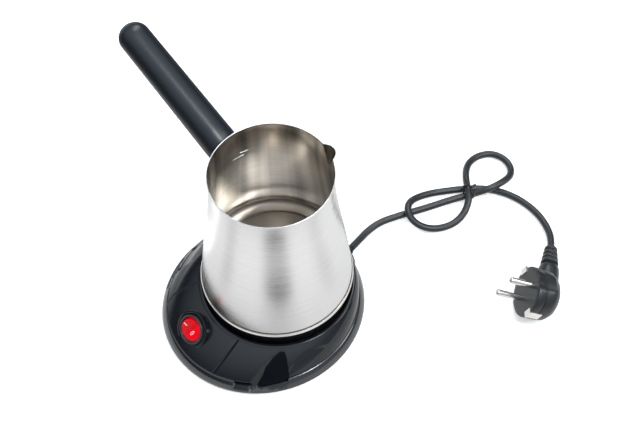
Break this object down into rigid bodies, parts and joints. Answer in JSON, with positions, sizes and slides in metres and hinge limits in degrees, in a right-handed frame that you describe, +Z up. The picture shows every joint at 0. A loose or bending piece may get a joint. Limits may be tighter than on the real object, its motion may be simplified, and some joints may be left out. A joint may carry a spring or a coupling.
{
  "type": "electric turkish coffee maker",
  "caption": "Cordless steel coffee pot with a spout and a long black handle on a black power base with a round red rocker switch, a tied mains lead and a plug.",
  "frame": {"origin": "on the table, midway between the end of the handle and the far side of the base, and midway along the base", "axes": "+Z up, -Y towards the side with the switch, -X towards the end of the handle"},
  "size_m": [0.263, 0.3071, 0.1899],
  "materials": {
    "brushed_steel": "brushed",
    "black_gloss": "gloss",
    "black_satin": "satin",
    "switch_black": "satin",
    "red_lens": "gloss",
    "lamp_glass": "clear",
    "nickel": "polished",
    "contact_brass": "satin",
    "heater_aluminium": "satin",
    "screw_zinc": "satin",
    "cord_black": "satin",
    "foot_rubber": "matt"
  },
  "bodies": {
    "base": {"base_housing": "black_gloss", "base_tray": "black_gloss", "switch_body": "switch_black", "switch_terminals": "contact_brass", "lower_connector": "black_satin", "lower_contacts": "contact_brass", "connector_screws": "screw_zinc", "base_screws": "screw_zinc", "feet": "foot_rubber", "cord_relief": "cord_black", "cord": "cord_black", "twist_tie": "cord_black", "plug_body": "cord_black", "plug_pins": "nickel", "plug_earth_clips": "nickel"},
    "pot": {"pot_shell": "brushed_steel", "pot_floor": "brushed_steel", "trim_ring": "brushed_steel", "pot_skirt": "black_satin", "handle": "black_satin", "handle_bracket": "brushed_steel", "handle_screw": "screw_zinc", "heat_spreader": "heater_aluminium", "heating_element": "screw_zinc", "thermostat": "black_satin", "floor_studs": "screw_zinc", "skirt_screws": "screw_zinc", "upper_connector": "black_satin", "upper_contacts": "contact_brass"},
    "rocker": {"rocker": "red_lens", "neon_lamp": "lamp_glass"}
  },
  "joints": [
    {"name": "pot_lift", "type": "slide", "parent": "base", "child": "pot", "axis": [0, 0, 1], "range_m": [0, 0.08]},
    {"name": "rocker_hinge", "type": "hinge", "parent": "base", "child": "rocker", "pos_m": [0.02877, -0.05752, 0.02033], "axis": [-0.2389, -0.6254, -0.7428], "range_deg": [0, 20]}
  ]
}
